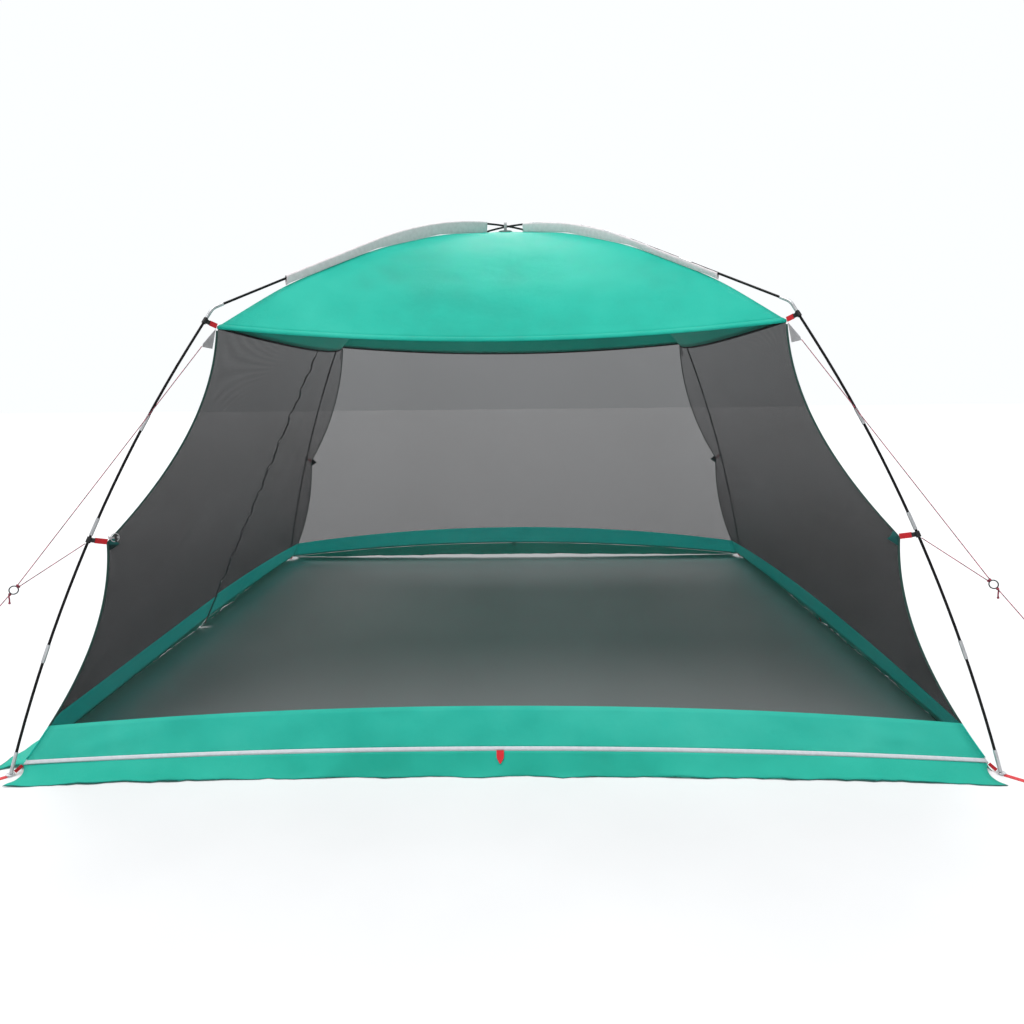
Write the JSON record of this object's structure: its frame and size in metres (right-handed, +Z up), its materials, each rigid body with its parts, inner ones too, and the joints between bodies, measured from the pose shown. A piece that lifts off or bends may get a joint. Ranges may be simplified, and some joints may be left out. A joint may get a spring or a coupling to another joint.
{
  "type": "screen house",
  "caption": "Square mesh-walled screen house with a sloped fabric roof hung under crossed poles, a zipped side door, ground skirts and guy lines.",
  "frame": {"origin": "centre of the footprint on the ground, under the roof's peak", "axes": "+Z up, -Y towards the plain front wall, -X towards the wall with the zipped door"},
  "size_m": [4.1698, 3.9147, 2.118],
  "materials": {
    "pole_black": "satin",
    "grey_metal": "satin",
    "dark_metal": "satin",
    "elastic_cord": "matte",
    "light_grey_fabric": "matte",
    "white_tape": "matte",
    "black_plastic": "matte",
    "zip_black": "satin",
    "zip_metal": "satin",
    "red_webbing": "matte",
    "guy_cord": "matte",
    "black_mesh": "matte",
    "dark_binding": "matte",
    "turquoise_fabric": "satin"
  },
  "bodies": {
    "house": {"band_back": "turquoise_fabric", "band_front": "turquoise_fabric", "band_left": "turquoise_fabric", "band_right": "turquoise_fabric", "base_tape": "white_tape", "corner_patches": "turquoise_fabric", "crossing_tie": "light_grey_fabric", "edge_bindings": "dark_binding", "ferrules": "grey_metal", "foot_pins": "grey_metal", "foot_rings": "grey_metal", "foot_straps": "red_webbing", "foot_tips": "grey_metal", "guy_anchor_left": "guy_cord", "guy_anchor_right": "guy_cord", "guy_lower_left": "guy_cord", "guy_lower_right": "guy_cord", "guy_rings": "dark_metal", "guy_tabs": "light_grey_fabric", "guy_upper_left": "guy_cord", "guy_upper_right": "guy_cord", "hook_straps": "red_webbing", "leg_sections_back_left": "pole_black", "leg_sections_back_right": "pole_black", "leg_sections_front_left": "pole_black", "leg_sections_front_right": "pole_black", "mesh_wall_back": "black_mesh", "mesh_wall_front": "black_mesh", "mesh_wall_left": "black_mesh", "mesh_wall_right": "black_mesh", "peg_loops": "red_webbing", "peg_straps": "red_webbing", "pole_hooks": "black_plastic", "pole_sleeve_back_left": "light_grey_fabric", "pole_sleeve_back_right": "light_grey_fabric", "pole_sleeve_front_left": "light_grey_fabric", "pole_sleeve_front_right": "light_grey_fabric", "roof_panel_back": "turquoise_fabric", "roof_panel_front": "turquoise_fabric", "roof_panel_left": "turquoise_fabric", "roof_panel_right": "turquoise_fabric", "roof_sections": "pole_black", "shock_cords": "elastic_cord", "shoulder_elbows": "grey_metal", "skirt_back": "turquoise_fabric", "skirt_front": "turquoise_fabric", "skirt_left": "turquoise_fabric", "skirt_right": "turquoise_fabric", "tie_loop": "light_grey_fabric", "zip_chain_fixed": "zip_black"},
    "door": {"door_mesh": "black_mesh", "door_band": "turquoise_fabric", "door_tape": "white_tape", "door_skirt": "turquoise_fabric", "zip_chain_door": "zip_black"},
    "zip_slider": {"zip_slider": "zip_metal"},
    "zip_pull": {"zip_pull": "zip_metal"},
    "tie_toggle": {"tie_toggle": "black_plastic"}
  },
  "joints": [
    {"name": "door_swing", "type": "hinge", "parent": "house", "child": "door", "pos_m": [-0.982, 0, 1.496], "axis": [0.2953, 0.7174, 0.631], "range_deg": [0, 100]},
    {"name": "zip_slide", "type": "slide", "parent": "house", "child": "zip_slider", "axis": [0.4299, 0, 0.9029], "range_m": [0, 1.44]},
    {"name": "pull_swing", "type": "hinge", "parent": "zip_slider", "child": "zip_pull", "pos_m": [-1.65946, -0.00005, 0.09165], "axis": [-0.0058, 1, 0.0028], "range_deg": [0, 150]},
    {"name": "toggle_turn", "type": "hinge", "parent": "house", "child": "tie_toggle", "pos_m": [-1.39703, -1.43097, 0.787], "axis": [0.7071, -0.7071, 0], "range_deg": [-90, 90]}
  ],
  "couplings": [
    {"joint": "zip_slide", "follows": "door_swing", "m_per_rad": 0.825}
  ]
}
